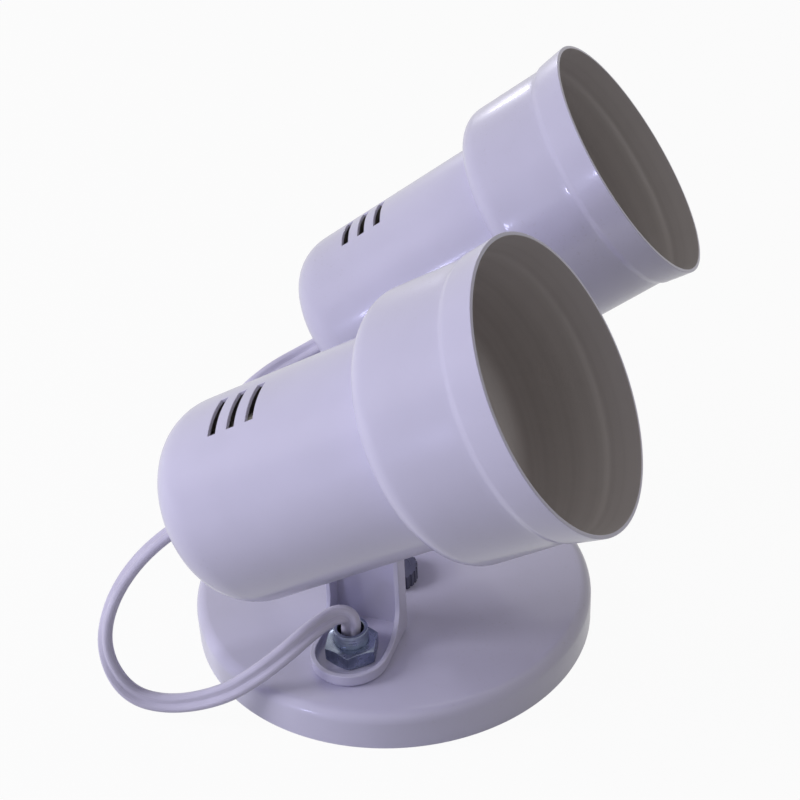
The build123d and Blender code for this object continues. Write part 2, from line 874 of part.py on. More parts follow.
def make_canopy_leads(frame):
    """The two cores from the nipple's bottom to the terminal block."""
    turn_z = nipple_bottom - wire_r - lead_clear
    entry_y = -frame.side * block_w / 2
    entry_z = sheet_t + wire_hole_z
    run = (Vector(block_x, entry_y, 0) - frame.nipple).normalized()
    apart = Vector(-run.Y, run.X, 0) * (-frame.side * core_spacing / pole_spacing)
    with BuildPart() as leads:
        for pole_x in pole_xs:
            top = frame.nipple + apart * pole_x
            entry = Vector(block_x + pole_x, entry_y, entry_z)
            reach = (entry - top) * lead_first_share
            approach = Vector(0, -frame.side * lead_approach, 0)
            add(wire([
                top + up * (nipple_bottom + lead_drop),
                top + up * turn_z,
                top + Vector(reach.X, reach.Y, 0) + up * turn_z,
                entry + approach,
                entry + Vector(0, frame.side * lead_depth, 0),
            ]))
    return leads.part


for number in (1, 2):
    frame = HeadFrame(number)
    inner_face = shell_reach + sheet_t + tilt_play
    save(make_bracket(frame), f"bracket_{number}")
    save(make_shell(frame), f"shell_{number}")
    save(make_spacer(frame), f"pivot_spacer_{number}")
    save(make_pivot_screw(frame), f"pivot_screw_{number}")
    save(ring(frame.beside(inner_face), washer_r, screw_r + running_gap, washer_h),
         f"pivot_washer_{number}")
    save(hex_nut(frame.beside(inner_face + washer_h), pivot_nut_width,
                 screw_r + thread_gap, pivot_nut_h), f"pivot_nut_{number}")
    save(make_holder(frame), f"lampholder_{number}")
    save(make_screw_shell(frame), f"screw_shell_{number}")
    save(make_contact(frame), f"contact_{number}")
    save(make_holder_screws(frame), f"holder_screws_{number}")
    save(make_holder_spacers(frame), f"holder_spacers_{number}")
    save(make_terminals(frame), f"holder_terminals_{number}")
    save(make_grommet(frame), f"grommet_{number}")
    save(make_cord(frame, number), f"cord_{number}")
    save(make_head_leads(frame), f"head_leads_{number}")
    save(make_canopy_leads(frame), f"canopy_leads_{number}")
    print(f"head {number}: pivot", [round(value, 3) for value in frame.pivot],
          "tilt axis", [round(value, 5) for value in frame.left],
          "axis", [round(value, 5) for value in frame.axis_dir],
          "rim", [round(value, 3) for value in frame.rim],
          "nipple", [round(value, 3) for value in frame.nipple])
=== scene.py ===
# %% [markdown]
# Twin pivoting spotlight for a wall or a ceiling. The real object is enamelled
# sheet steel: one round canopy, two pressed brackets and two spun lamp shells,
# with flat cords that loop from the shells into hollow nipples. The solid
# model gives every place and size, and this script gives the pieces their
# visible skin. It starts by loading that model.

# %% Load the solid model
import bmesh
import bpy
from math import atan2, cos, degrees, pi, radians, sin
from mathutils import Matrix, Vector


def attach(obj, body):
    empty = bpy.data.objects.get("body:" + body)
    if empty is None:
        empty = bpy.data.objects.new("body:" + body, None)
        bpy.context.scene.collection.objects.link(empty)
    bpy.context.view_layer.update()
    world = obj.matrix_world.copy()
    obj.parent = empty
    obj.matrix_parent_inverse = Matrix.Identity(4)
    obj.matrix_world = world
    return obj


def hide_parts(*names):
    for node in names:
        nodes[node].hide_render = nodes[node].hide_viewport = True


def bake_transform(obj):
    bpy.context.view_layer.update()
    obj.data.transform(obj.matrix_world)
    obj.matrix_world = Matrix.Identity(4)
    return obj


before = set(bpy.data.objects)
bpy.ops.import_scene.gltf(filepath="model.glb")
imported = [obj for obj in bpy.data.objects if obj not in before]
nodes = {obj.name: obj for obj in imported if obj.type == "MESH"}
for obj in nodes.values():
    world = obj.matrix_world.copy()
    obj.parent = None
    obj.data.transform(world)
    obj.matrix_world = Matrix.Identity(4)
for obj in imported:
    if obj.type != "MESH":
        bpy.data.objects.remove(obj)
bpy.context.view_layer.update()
MM = 0.001

# %% [markdown]
# A place in space is often easiest to give as three axes and a spot. The
# camera and both lamp heads are placed that way, so the matrix that holds the
# four is written once. Two more helpers link what is made to the scene. Every
# finished piece stays at the origin, and its mesh holds its place.

# %% Helpers for placing and linking
def axes_matrix(x_axis, y_axis, z_axis, spot):
    """Matrix with three given axes, one in each column, and a place."""
    return Matrix((
        (x_axis.x, y_axis.x, z_axis.x, spot.x),
        (x_axis.y, y_axis.y, z_axis.y, spot.y),
        (x_axis.z, y_axis.z, z_axis.z, spot.z),
        (0.0, 0.0, 0.0, 1.0),
    ))


def new_piece(name, data):
    """An object for a mesh, a camera or a lamp, linked to the scene."""
    piece = bpy.data.objects.new(name, data)
    bpy.context.scene.collection.objects.link(piece)
    return piece


def bmesh_piece(name, bm):
    """A smooth-shaded piece from a bmesh, which is freed."""
    mesh = bpy.data.meshes.new(name)
    bm.to_mesh(mesh)
    bm.free()
    mesh.shade_smooth()
    return new_piece(name, mesh)


# %% [markdown]
# The camera looks down at the light, which stands on its canopy. Its place
# was solved from the outlines of the canopy, the rims and the cylinders. A
# camera looks along its own -Z, so its three axes are written out from the
# slope and the small roll.

# %% Camera
camera_slope = 0.5714738
camera_roll = -0.0508125
camera_depth = Vector((-1.6132, 63.9802, 481.3208)) * MM
focal_pixels = 1557.67
picture_pixels = 800.0
sensor_width = 36.0

forward = Vector((0.0, cos(camera_slope), -sin(camera_slope)))
raised = Vector((0.0, sin(camera_slope), cos(camera_slope)))
across = Vector((1.0, 0.0, 0.0))
right = across * cos(camera_roll) + raised * sin(camera_roll)
upward = raised * cos(camera_roll) - across * sin(camera_roll)
place = -(right * camera_depth.x - upward * camera_depth.y
          + forward * camera_depth.z)
camera_data = bpy.data.cameras.new("camera")
camera_data.sensor_width = sensor_width
camera_data.lens = focal_pixels * sensor_width / picture_pixels
camera_data.clip_start = 0.01
camera = new_piece("camera", camera_data)
camera.matrix_world = axes_matrix(right, upward, -forward, place)
bpy.context.scene.camera = camera
print("camera at", [round(v, 4) for v in place], "lens",
      round(camera_data.lens, 1))

# %% [markdown]
# Each cord is a flat twin cord: two insulated cores side by side, joined by a
# thin web. It leaves the shell through a grommet, hangs in a loop beside the
# canopy and dives into the nipple from above. A curve with a round bevel
# can't show two cores, so the route is a smooth NURBS spline, and a
# figure-of-eight section is swept along the points that Blender reads from
# it. The route's points are those of the solid model.

# %% Cord routes
cord_routes = {
    1: [(-42.48, -40.09, 71.56), (-53.45, -36.1, 64.77), (-67.65, -38.48, 54.5),
        (-77.95, -38.28, 38.5), (-81.65, -39.88, 23.0), (-76.75, -41.78, 8.4),
        (-64.55, -44.48, 5.7), (-48.75, -47.18, 10.9), (-37.45, -47.68, 19.3),
        (-28.95, -45.18, 25.0), (-22.95, -40.98, 27.9), (-17.2, -36.28, 28.75),
        (-14.0, -35.23, 28.4), (-11.9, -34.93, 26.0), (-12.5, -34.88, 20.5),
        (-12.2, -34.88, 11.9), (-12.35, -34.88, 6.4)],
    2: [(-9.3, 54.7, 69.35), (-20.13, 56.87, 61.58), (-36.95, 52.2, 55.0),
        (-49.23, 50.1, 44.2), (-54.2, 46.84, 29.8), (-45.15, 43.88, 20.8),
        (-30.39, 40.53, 19.8), (-16.58, 38.24, 20.9), (-5.82, 35.83, 24.6),
        (1.6, 34.76, 27.7), (7.34, 34.25, 28.75), (10.67, 34.79, 28.4),
        (12.79, 34.76, 26.0), (12.2, 34.9, 20.5), (12.5, 34.85, 11.9),
        (12.35, 34.88, 6.4)],
}
route_order = 3
route_steps = 14
smallest_step = 0.02 * MM


def route_points(number):
    """Points of a smooth spline over the route, read back from Blender."""
    curve = bpy.data.curves.new(f"cord_route_{number}", "CURVE")
    curve.dimensions = "3D"
    curve.resolution_u = route_steps
    spline = curve.splines.new("NURBS")
    spline.points.add(len(cord_routes[number]) - 1)
    for control, spot in zip(spline.points, cord_routes[number]):
        control.co = (*(Vector(spot) * MM), 1.0)
    spline.order_u = route_order
    spline.use_endpoint_u = True
    holder = bpy.data.objects.new(f"cord_route_{number}", curve)
    mesh = bpy.data.meshes.new_from_object(holder)
    points = [mesh.vertices[0].co.copy()]
    for vertex in mesh.vertices:
        if (vertex.co - points[-1]).length > smallest_step:
            points.append(vertex.co.copy())
    bpy.data.objects.remove(holder)
    bpy.data.curves.remove(curve)
    bpy.data.meshes.remove(mesh)
    return points


routes = {number: route_points(number) for number in cord_routes}
for number, points in routes.items():
    length = sum((b - a).length for a, b in zip(points, points[1:]))
    print(f"cord {number}: {len(points)} points, {length / MM:.1f} mm")

# %% [markdown]
# A flat cord has a broad side, and it turns over slowly along the loop: it
# shows its edge where it leaves the shell and its broad side where it lies
# by the canopy. The turns are given as pairs, a share of the length and an
# angle, and the angle eases from one pair to the next.

# %% How a cord turns over
cord_turns = {
    1: [(0.0, 66.0), (0.3, 60.0), (0.5, 12.0), (0.62, 0.0), (0.85, 8.0),
        (1.0, 20.0)],
    2: [(0.0, 30.0), (0.2, 8.0), (0.5, 0.0), (1.0, 10.0)],
}


def turn_at(share, turns):
    """Angle of the cord's broad side at a share of its length, in radians."""
    for (low, first), (high, last) in zip(turns, turns[1:]):
        if share <= high:
            t = (share - low) / (high - low)
            eased = t * t * (3 - 2 * t)
            return radians(first + (last - first) * eased)
    return radians(turns[-1][1])


print("turn half way:", {number: round(degrees(turn_at(0.5, turns)))
                         for number, turns in cord_turns.items()})

# %% [markdown]
# The section is an outline like a figure of eight: two round cores side by
# side, with a shallow groove between them where the web is. Each core gives
# the part of its circle that faces away from the other core, which is 142
# degrees to either side.

# %% Section of the twin cord
core_r = 1.45 * MM
core_spacing = 2.8 * MM
core_open = 142
core_steps = 9


def section_offsets():
    """Outline of two round cores with a shallow groove between."""
    spots = []
    for side in (1, -1):
        for step in range(core_steps):
            angle = radians(core_open * (2 * step / (core_steps - 1) - 1))
            reach = side * (core_spacing / 2 + core_r * cos(angle))
            spots.append((reach, side * core_r * sin(angle)))
    return spots


# %% [markdown]
# The section is set at each point of the route, square to the run of the cord
# and turned by its angle there. Neighbouring sections are joined with the
# bridge operator, and the two ends are filled. An attribute keeps each
# point's place across and along the cord, so the finish can follow it.

# %% Sweep a cord
def cord_section(bm, layer, point, run, turn, travelled):
    """One closed ring of edges round a point of the route."""
    broad = run.cross(-forward).normalized()
    flat = run.cross(broad)
    wide = broad * cos(turn) + flat * sin(turn)
    thick = run.cross(wide)
    ring = []
    for x, y in section_offsets():
        vertex = bm.verts.new(point + wide * x + thick * y)
        vertex[layer] = (x / MM, y / MM, travelled / MM)
        ring.append(vertex)
    return [bm.edges.new((ring[i - 1], ring[i])) for i in range(len(ring))]


def flat_cord(number):
    """Mesh tube of the figure-of-eight section along one route."""
    points = routes[number]
    travelled = [0.0]
    for a, b in zip(points, points[1:]):
        travelled.append(travelled[-1] + (b - a).length)
    bm = bmesh.new()
    layer = bm.verts.layers.float_vector.new("cord_uv")
    rings = []
    last = len(points) - 1
    for index, point in enumerate(points):
        run = points[min(index + 1, last)] - points[max(index - 1, 0)]
        turn = turn_at(travelled[index] / travelled[-1], cord_turns[number])
        rings.append(cord_section(bm, layer, point, run.normalized(), turn,
                                  travelled[index]))
    for first, second in zip(rings, rings[1:]):
        bmesh.ops.bridge_loops(bm, edges=first + second)
    bmesh.ops.edgeloop_fill(bm, edges=rings[0])
    bmesh.ops.edgeloop_fill(bm, edges=rings[-1])
    bmesh.ops.recalc_face_normals(bm, faces=bm.faces)
    return bmesh_piece(f"cord_{number}_flat", bm)


# %% [markdown]
# A cord is held at both ends, by the nipple under the bracket and by the
# shell.

# %% Cords between bracket and head
cords = {}
for number in (1, 2):
    cords[number] = flat_cord(number)
    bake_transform(cords[number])
    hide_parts(f"cord_{number}")
    print(cords[number].name, len(cords[number].data.vertices), "vertices")

# %% [markdown]
# The canopy and the lamp shells are round pressings. On the real light they
# are spun or drawn from one sheet, so each is made the same way here: the
# outline of the outer side is drawn once and spun about its axis. The
# outlines are lists of spots, each a radius and a height in millimetres.

# %% Spinning a sheet
weld_gap = 1e-6


def outline(bm, spots):
    """A chain of edges through (radius, height) spots, for spinning."""
    vertices = [bm.verts.new((r * MM, 0.0, z * MM)) for r, z in spots]
    edges = [bm.edges.new(pair) for pair in zip(vertices, vertices[1:])]
    return vertices + edges


def corner(centre, reach_r, reach_z, start, end, steps):
    """Spots along a rounded corner, angles in degrees from outwards to up."""
    spots = []
    for step in range(steps + 1):
        angle = radians(start + (end - start) * step / steps)
        spots.append((centre[0] + reach_r * cos(angle),
                      centre[1] + reach_z * sin(angle)))
    return spots


def spun_sheet(name, spots, steps, into=Matrix.Identity(4), cut=None):
    """Spin an outline into one open skin and move it to its place."""
    bm = bmesh.new()
    bmesh.ops.spin(bm, geom=outline(bm, spots), cent=(0, 0, 0), axis=(0, 0, 1),
                   angle=2 * pi, steps=steps, use_merge=True)
    bmesh.ops.remove_doubles(bm, verts=bm.verts, dist=weld_gap)
    bmesh.ops.recalc_face_normals(bm, faces=bm.faces)
    outwards = sum(face.normal.xy.dot(face.calc_center_median().xy)
                   for face in bm.faces)
    if outwards < 0:
        bmesh.ops.reverse_faces(bm, faces=bm.faces)
    if cut:
        gone = [face for face in bm.faces if cut(face.calc_center_median())]
        bmesh.ops.delete(bm, geom=gone, context="FACES")
        print(name, "openings take", len(gone), "faces")
    bmesh.ops.transform(bm, matrix=into, verts=bm.verts)
    return bmesh_piece(name, bm)


# %% [markdown]
# A spun skin gets its sheet thickness on the inner side from a Solidify
# modifier, which can also give the inner side a finish of its own. A narrow
# bevel rounds the rim of the sheet, as enamel rounds a cut edge. Both stay
# modifiers, so the skin itself remains one simple surface.

# %% Thickness and rounded edges
sharp_angle = 32


def sheet_thickness(piece, thickness, inner_slot=0):
    """Give a skin its thickness on the inner side."""
    wall = piece.modifiers.new("sheet", "SOLIDIFY")
    wall.thickness = thickness * MM
    wall.offset = -1.0
    wall.use_even_offset = True
    wall.material_offset = inner_slot
    wall.material_offset_rim = 0


def round_edges(piece, width, segments=2):
    """Round the sharp edges a little, as paint and handling do."""
    bevel = piece.modifiers.new("rounded edges", "BEVEL")
    bevel.width = width * MM
    bevel.segments = segments
    bevel.limit_method = "ANGLE"
    bevel.angle_limit = radians(sharp_angle)
    bevel.harden_normals = True
    bevel.use_clamp_overlap = True


# %% [markdown]
# The canopy is a flat dish with a soft rolled shoulder and a straight wall
# down to the mounting surface. Two rings on the flat top keep its faces short,
# and the shoulder is a quarter circle in ten bands, so its reflections run
# round without a break.

# %% Canopy
canopy_r, canopy_h, canopy_t = 60.0, 12.0, 1.0
canopy_edge_r = 3.5
canopy_rings = (0.0, 30.0, 50.0)
canopy_wall_ring = 4.0
canopy_steps = 192

canopy_spots = [(ring_r, canopy_h) for ring_r in canopy_rings]
canopy_spots += corner((canopy_r - canopy_edge_r, canopy_h - canopy_edge_r),
                       canopy_edge_r, canopy_edge_r, start=90, end=0, steps=10)
canopy_spots += [(canopy_r, canopy_wall_ring), (canopy_r, 0.0)]
canopy = spun_sheet("canopy_dish", canopy_spots, canopy_steps)
sheet_thickness(canopy, canopy_t)
round_edges(canopy, width=0.25)
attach(canopy, "canopy_assembly")
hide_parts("canopy")
print("canopy:", len(canopy.data.polygons), "faces")

# %% [markdown]
# Each head points its own way. Its frame has its origin in the middle of the
# rim, X to the head's left and Z the way it points, so the outline of a shell
# runs from the rim down to negative heights. Both shells share one outline
# and differ in their matrix.

# %% Places of the two heads
head_rims = {1: (41.981, -70.828, 123.871), 2: (74.137, 38.032, 129.148)}
head_lefts = {1: (0.34202, 0.93969, 0.0), 2: (0.19595, 0.98061, 0.0)}
head_axes = {1: (0.81215, -0.2956, 0.50302), 2: (0.80229, -0.16031, 0.57501)}


def head_matrix(number):
    """Place of one head: X to its left, Y its rise, Z the way it points."""
    left = Vector(head_lefts[number]).normalized()
    axis = Vector(head_axes[number]).normalized()
    return axes_matrix(left, axis.cross(left), axis,
                       Vector(head_rims[number]) * MM)


for number in (1, 2):
    print("head", number, "points along",
          [round(v, 3) for v in head_matrix(number).col[2].xyz])

# %% [markdown]
# Each lamp shell is one spun piece: a wide cup with a flared lip, a soft step
# below the lip, a tight round shoulder, and a narrower cylinder with a domed
# back. The soft step is a short S, given as shares of its drop and distances
# past the lip. Rings of the outline lie on the edges of the vent slots.

# %% Outline of a shell
rim_r, lip_r, lip_len = 36.8, 35.8, 8.5
flare_in, flare_len = 0.35, 3.0
soft_step = [(1.0, -0.9), (0.9, -0.4), (0.5, 0.35), (0.1, 1.1), (0.0, 1.6)]
cup_r, cup_len, shoulder_r = 35.0, 37.5, 7.3
cup_rings = (12.0, 14.0, 16.0, 24.0)
shoulder_turn = 84
shoulder_foot = 0.25
rear_r, head_len = 27.5, 107.5
rear_rings = (50.0, 62.0)
slot_edges = [(70.1, 72.5), (76.2, 78.6), (82.3, 84.7)]
dome_len, dome_drop = 12.4, 9.3
back_ring_r = 12.0
grommet_hole_r = 4.5


def shell_spots():
    """Outer outline of a shell: radius, and height behind the rim."""
    spots = [(rim_r, 0.0), (rim_r - flare_in, -flare_len)]
    spots += [(cup_r + share * (lip_r - cup_r), -lip_len - past)
              for share, past in soft_step]
    spots += [(cup_r, -back) for back in cup_rings]
    spots += corner((rear_r, shoulder_r - cup_len), cup_r - rear_r, -shoulder_r,
                    start=0, end=shoulder_turn, steps=10)
    spots.append((rear_r, -cup_len - shoulder_foot))
    spots += [(rear_r, -back) for back in rear_rings]
    spots += [(rear_r, -back) for edges in slot_edges for back in edges]
    spots += corner((rear_r - dome_drop, dome_len - head_len), dome_drop,
                    -dome_len, start=0, end=90, steps=12)
    return spots + [(back_ring_r, -head_len), (grommet_hole_r, -head_len)]


print("shell outline:", len(shell_spots()), "spots")

# %% [markdown]
# Three vent slots are pierced near the back of each shell. They could be cut
# with a boolean, but rings of the outline already lie on their long edges, so
# a slot is simply the faces between two rings and two angles. They are taken
# out before the sheet gets its thickness, which then closes the slot's wall.

# %% Vent slots
slot_middle = {1: 103.8, 2: 93.7}
slot_half = 13.4


def in_slot(number):
    """Test for the faces that the vent slots take out."""
    low = slot_middle[number] - slot_half
    high = slot_middle[number] + slot_half

    def test(spot):
        angle = degrees(atan2(spot.y, spot.x)) % 360
        back = -spot.z / MM
        return low < angle < high and any(a < back < b for a, b in slot_edges)

    return test


print("slots:", len(slot_edges), "of", round(radians(2 * slot_half) * rear_r, 1),
      "mm in each shell")

# %% [markdown]
# Seen from inside, the step below the lip hardly shows, while a wall of even
# thickness would repeat it. A vertex group gives the Solidify modifier a share
# of the full thickness at each distance behind the rim. The wall is thinnest
# just behind the step, so its inner side runs on almost straight.

# %% Even inner wall
wall_shares = [(0.0, 1.0), (7.6, 0.95), (8.9, 0.78), (9.6, 0.62), (10.2, 0.6),
               (16.0, 1.0), (120.0, 1.0)]


def smooth_inside(piece, number):
    """Thin the wall behind the step, so that the inside runs on smoothly."""
    group = piece.vertex_groups.new(name="wall_share")
    back_to_head = head_matrix(number).inverted()
    for vertex in piece.data.vertices:
        back = max(0.0, -(back_to_head @ vertex.co).z / MM)
        for (near, first), (far, last) in zip(wall_shares, wall_shares[1:]):
            if back <= far:
                share = first + (last - first) * (back - near) / (far - near)
                group.add([vertex.index], share, "REPLACE")
                break
    piece.modifiers["sheet"].vertex_group = group.name


print("thinnest wall:", min(share for _, share in wall_shares), "of the sheet")

# %% [markdown]
# With its outline, its slots and its wall shares ready, each shell takes a few
# lines. The inner side gets the second material slot, because a real shell is
# glossy outside and matt inside.

# %% Lamp shells
shell_t = 1.0
shell_steps = 120
shells = {}
for number in (1, 2):
    shells[number] = spun_sheet(f"shell_{number}_spun", shell_spots(),
                                shell_steps, head_matrix(number),
                                in_slot(number))
    sheet_thickness(shells[number], shell_t, inner_slot=1)
    smooth_inside(shells[number], number)
    round_edges(shells[number], width=0.22)
    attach(shells[number], f"head_{number}_body")
    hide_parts(f"shell_{number}")
    print(shells[number].name, len(shells[number].data.polygons), "faces")

# %% [markdown]
# Brackets, nuts, nipples, screws and washers already have their true shape in
# the solid model, but with knife-sharp edges. A copy of each is merged into
# one surface, its flat areas are freed of needless edges, and a narrow bevel
# is added. The bevel catches the light the way a pressed or turned edge does.

# %% Softened copies of the solid pieces
merge_gap = 2e-6
flat_angle = 0.4


def softened(node, body, slot, width, segments=2):
    """A merged copy of one solid with slightly rounded edges."""
    mesh = nodes[node].data.copy()
    mesh.name = f"{node}_softened"
    bm = bmesh.new()
    bm.from_mesh(mesh)
    bmesh.ops.remove_doubles(bm, verts=bm.verts, dist=merge_gap)
    bmesh.ops.dissolve_limit(bm, angle_limit=radians(flat_angle),
                             verts=bm.verts, edges=bm.edges)
    bm.to_mesh(mesh)
    bm.free()
    if "custom_normal" in mesh.attributes:
        mesh.attributes.remove(mesh.attributes["custom_normal"])
    mesh.shade_smooth()
    mesh.set_sharp_from_angle(angle=radians(sharp_angle))
    piece = new_piece(f"{node}_softened", mesh)
    round_edges(piece, width, segments)
    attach(piece, body)
    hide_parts(node)
    return piece


# %% [markdown]
# The list below names the pieces that are softened, with the body each rides
# on, its material slot and the width of its rounded edge in millimetres. A
# thick pressed bracket has broader edges than a washer.

# %% Pieces with softened edges
# Each row: node, body, slot, rounded edge in mm, and bevel segments if not 2
edge_list = []
for number in (1, 2):
    head = f"head_{number}_body"
    edge_list += [
        (f"bracket_{number}", f"bracket_{number}_body", "enamel", 0.4, 3),
        (f"pivot_nut_{number}", head, "zinc", 0.15),
        (f"pivot_washer_{number}", head, "zinc", 0.12),
        (f"lampholder_{number}", head, "porcelain", 0.3),
    ]
edge_list += [
    ("nipple_nuts", "canopy_assembly", "zinc", 0.25),
    ("nipples", "canopy_assembly", "zinc", 0.25),
    ("centre_screw", "canopy_assembly", "dark_plastic", 0.15),
]
soft = {row[0]: softened(*row) for row in edge_list}
for name, piece in soft.items():
    print(name, "solid", len(nodes[name].data.polygons), "triangles, merged",
          len(piece.data.polygons), "faces")

# %% [markdown]
# Several finishes share an effect, so each effect is one shader node group
# with its own inputs. Every group takes a vector and one or two scales, and
# gives out plain values. These helpers start a group and add the nodes that
# the groups and the finishes use most.

# %% Helpers for shader nodes
def new_group(name, scales, outputs):
    """An empty shader node group: a vector, scales, and value outputs."""
    group = bpy.data.node_groups.new(name, "ShaderNodeTree")
    sockets = group.interface
    sockets.new_socket("Vector", in_out="INPUT", socket_type="NodeSocketVector")
    for label, value in scales.items():
        socket = sockets.new_socket(label, in_out="INPUT",
                                    socket_type="NodeSocketFloat")
        socket.default_value = value
    for label in outputs:
        sockets.new_socket(label, in_out="OUTPUT", socket_type="NodeSocketFloat")
    return (group, group.nodes.new("NodeGroupInput"),
            group.nodes.new("NodeGroupOutput"))


def noise(tree, vector, scale, detail, roughness=0.5):
    """A noise texture on a vector; scale is a number or a socket."""
    node = tree.nodes.new("ShaderNodeTexNoise")
    tree.links.new(vector, node.inputs["Vector"])
    if isinstance(scale, (int, float)):
        node.inputs["Scale"].default_value = scale
    else:
        tree.links.new(scale, node.inputs["Scale"])
    node.inputs["Detail"].default_value = detail
    node.inputs["Roughness"].default_value = roughness
    return node.outputs["Fac"]


def calc(tree, operation, first, second=None, clamp=False):
    """One math node; each input is a number or a socket."""
    node = tree.nodes.new("ShaderNodeMath")
    node.operation = operation
    node.use_clamp = clamp
    for socket, value in zip(node.inputs, (first, second)):
        if value is None:
            continue
        if isinstance(value, (int, float)):
            socket.default_value = value
        else:
            tree.links.new(value, socket)
    return node.outputs["Value"]


def spread(tree, value, low, high, out_low=0.0, out_high=1.0):
    """Map a value from one range to another, clamped."""
    node = tree.nodes.new("ShaderNodeMapRange")
    tree.links.new(value, node.inputs["Value"])
    for label, number in (("From Min", low), ("From Max", high),
                          ("To Min", out_low), ("To Max", out_high)):
        node.inputs[label].default_value = number
    return node.outputs["Result"]


# %% [markdown]
# The first effect gives gloss paint its life: a fine ripple that painters
# call orange peel, a slow change of tone where the coat is thicker, and a
# little dust that has settled in the gloss. Dust lies in patches, so its
# specks are kept only where the slow noise is high. Most of a noise lies
# close to a half, and a narrow range around it is spread out to 0 and 1.

# %% Gloss coat effect
noise_swing = (0.35, 0.65)
dusty_range = (0.45, 0.7)
speck_range = (0.62, 0.72)


def gloss_coat_group():
    group, entry, leave = new_group(
        "gloss_coat",
        {"Ripple Scale": 620.0, "Tone Scale": 22.0, "Dust Scale": 900.0},
        ("Height", "Tone", "Dust"))
    spot = entry.outputs["Vector"]
    ripple = noise(group, spot, entry.outputs["Ripple Scale"], detail=1.5)
    slow = noise(group, spot, entry.outputs["Tone Scale"], detail=3.0)
    specks = noise(group, spot, entry.outputs["Dust Scale"], detail=2.0,
                   roughness=0.7)
    dust = calc(group, "MULTIPLY", spread(group, specks, *speck_range),
                spread(group, slow, *dusty_range))
    group.links.new(ripple, leave.inputs["Height"])
    group.links.new(spread(group, slow, *noise_swing), leave.inputs["Tone"])
    group.links.new(dust, leave.inputs["Dust"])
    return group


gloss_coat = gloss_coat_group()
print("effect group:", gloss_coat.name)

# %% [markdown]
# A spinning tool leaves fine rings round the axis. Rings could come from a
# wave texture, but real ones are uneven, so a noise is read at the distance
# from the axis and the height along it. It is then the same all the way round.

# %% Turned rings effect
def turned_marks_group():
    group, entry, leave = new_group(
        "turned_marks", {"Marks Scale": 900.0}, ("Height", "Streaks"))
    parts = group.nodes.new("ShaderNodeSeparateXYZ")
    group.links.new(entry.outputs["Vector"], parts.inputs["Vector"])
    flat = calc(group, "ADD", calc(group, "POWER", parts.outputs["X"], 2.0),
                calc(group, "POWER", parts.outputs["Y"], 2.0))
    lay = group.nodes.new("ShaderNodeCombineXYZ")
    group.links.new(calc(group, "SQRT", flat), lay.inputs["X"])
    group.links.new(parts.outputs["Z"], lay.inputs["Z"])
    marks = noise(group, lay.outputs["Vector"], entry.outputs["Marks Scale"],
                  detail=3.0)
    group.links.new(marks, leave.inputs["Height"])
    group.links.new(spread(group, marks, *noise_swing),
                    leave.inputs["Streaks"])
    return group


turned_marks = turned_marks_group()
print("effect group:", turned_marks.name)

# %% [markdown]
# Plated metal and moulded plastic both have a fine grain and broader, soft
# stains. One group gives both, and each finish sets the two scales.

# %% Grain and stain effect
stain_range = (0.38, 0.62)


def metal_grain_group():
    group, entry, leave = new_group(
        "metal_grain", {"Grain Scale": 1400.0, "Stain Scale": 260.0},
        ("Height", "Stain"))
    spot = entry.outputs["Vector"]
    grain = noise(group, spot, entry.outputs["Grain Scale"], detail=4.0,
                  roughness=0.6)
    stain = noise(group, spot, entry.outputs["Stain Scale"], detail=4.0,
                  roughness=0.6)
    group.links.new(grain, leave.inputs["Height"])
    group.links.new(spread(group, stain, *stain_range), leave.inputs["Stain"])
    return group


metal_grain = metal_grain_group()
print("effect group:", metal_grain.name)

# %% [markdown]
# A finish is one material. The helpers below start a material, place an
# effect group in it, mix two colours by a mask and send a height through a
# bump node. Numbers that are the same all over a surface are set straight on
# the shader.

# %% Helpers for finishes
def srgb(red, green, blue):
    """A colour given in picture values 0 to 255, for a shader socket.

    The numbers below are those of the sRGB curve.
    """
    def linear(value):
        value /= 255
        if value <= 0.04045:
            return value / 12.92
        return ((value + 0.055) / 1.055) ** 2.4
    return (linear(red), linear(green), linear(blue), 1.0)


def new_finish(name, **numbers):
    """A material with its plain shader numbers; spaces are written as _."""
    material = bpy.data.materials.new(name)
    material.use_nodes = True
    shader = material.node_tree.nodes["Principled BSDF"]
    for label, value in numbers.items():
        shader.inputs[label.replace("_", " ")].default_value = value
    return material, material.node_tree, shader


def object_spot(tree, centre=None, turn=None):
    """Object coordinates, centred and turned onto a piece where needed."""
    coordinate = tree.nodes.new("ShaderNodeTexCoord")
    if centre is None:
        return coordinate.outputs["Object"]
    mapping = tree.nodes.new("ShaderNodeMapping")
    mapping.vector_type = "TEXTURE"
    mapping.inputs["Location"].default_value = centre
    mapping.inputs["Rotation"].default_value = turn
    tree.links.new(coordinate.outputs["Object"], mapping.inputs["Vector"])
    return mapping.outputs["Vector"]


def placed(tree, group, vector, **numbers):
    """Place an effect group in a material; spaces are written as _."""
    node = tree.nodes.new("ShaderNodeGroup")
    node.node_tree = group
    tree.links.new(vector, node.inputs["Vector"])
    for label, value in numbers.items():
        node.inputs[label.replace("_", " ")].default_value = value
    return node


def mixed(tree, mask, first, second):
    """Mix two colours by a mask; each is a colour or a socket."""
    node = tree.nodes.new("ShaderNodeMix")
    node.data_type = "RGBA"
    mask_input, first_input, second_input = (node.inputs[i] for i in (0, 6, 7))
    tree.links.new(mask, mask_input)
    for socket, value in ((first_input, first), (second_input, second)):
        if isinstance(value, tuple):
            socket.default_value = value
        else:
            tree.links.new(value, socket)
    return node.outputs[2]


